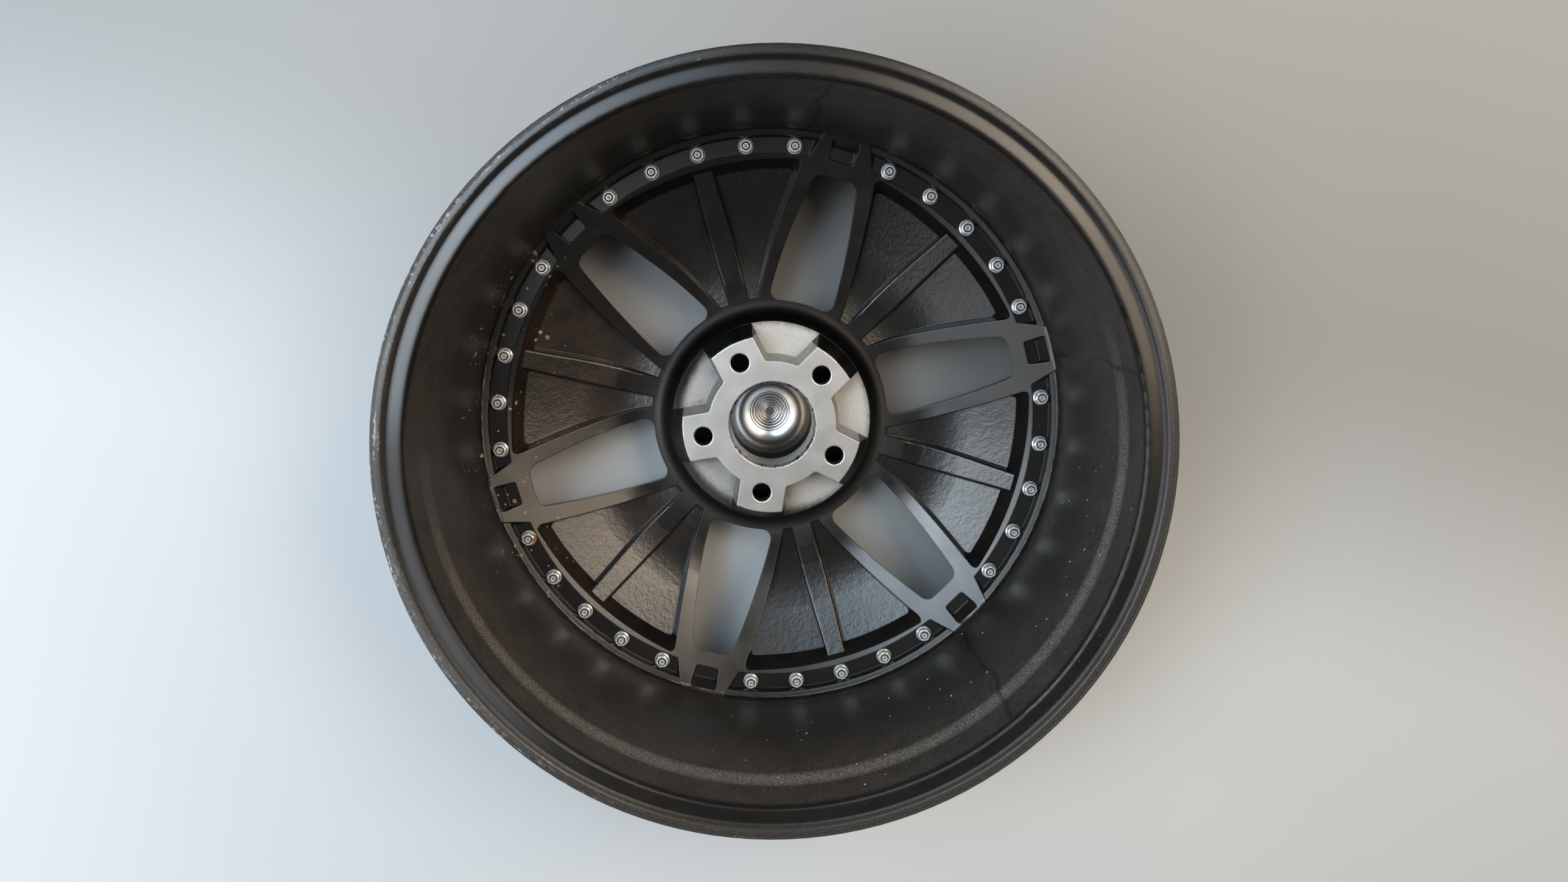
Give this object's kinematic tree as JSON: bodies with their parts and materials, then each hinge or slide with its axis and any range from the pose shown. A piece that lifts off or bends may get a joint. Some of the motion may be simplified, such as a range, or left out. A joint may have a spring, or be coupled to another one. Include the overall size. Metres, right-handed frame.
{
  "type": "alloy wheel",
  "caption": "Deep one-piece cast alloy car wheel with broad ribbed spokes, open windows, a ring of accent bolts and nuts, a bolted hub and a turned centre cap.",
  "frame": {"origin": "centre of the hub's mounting face, on the wheel axis", "axes": "+Z along the wheel axis towards the car (inboard), which is up as the wheel lies on its outboard lip; +X along one spoke and through one lug hole"},
  "size_m": [0.5473, 0.5474, 0.254],
  "materials": {
    "wheel_casting": "cast aluminium in satin black paint, hub pads machined bare",
    "accent_bolts": "zinc plated",
    "flange_nuts": "bright zinc plated",
    "centre_cap": "turned inside",
    "cap_seal": "plain black"
  },
  "bodies": {
    "root": {"wheel_casting": "wheel_casting", "accent_bolts": "accent_bolts", "flange_nuts": "flange_nuts", "centre_cap": "centre_cap", "cap_seal": "cap_seal"}
  },
  "joints": []
}
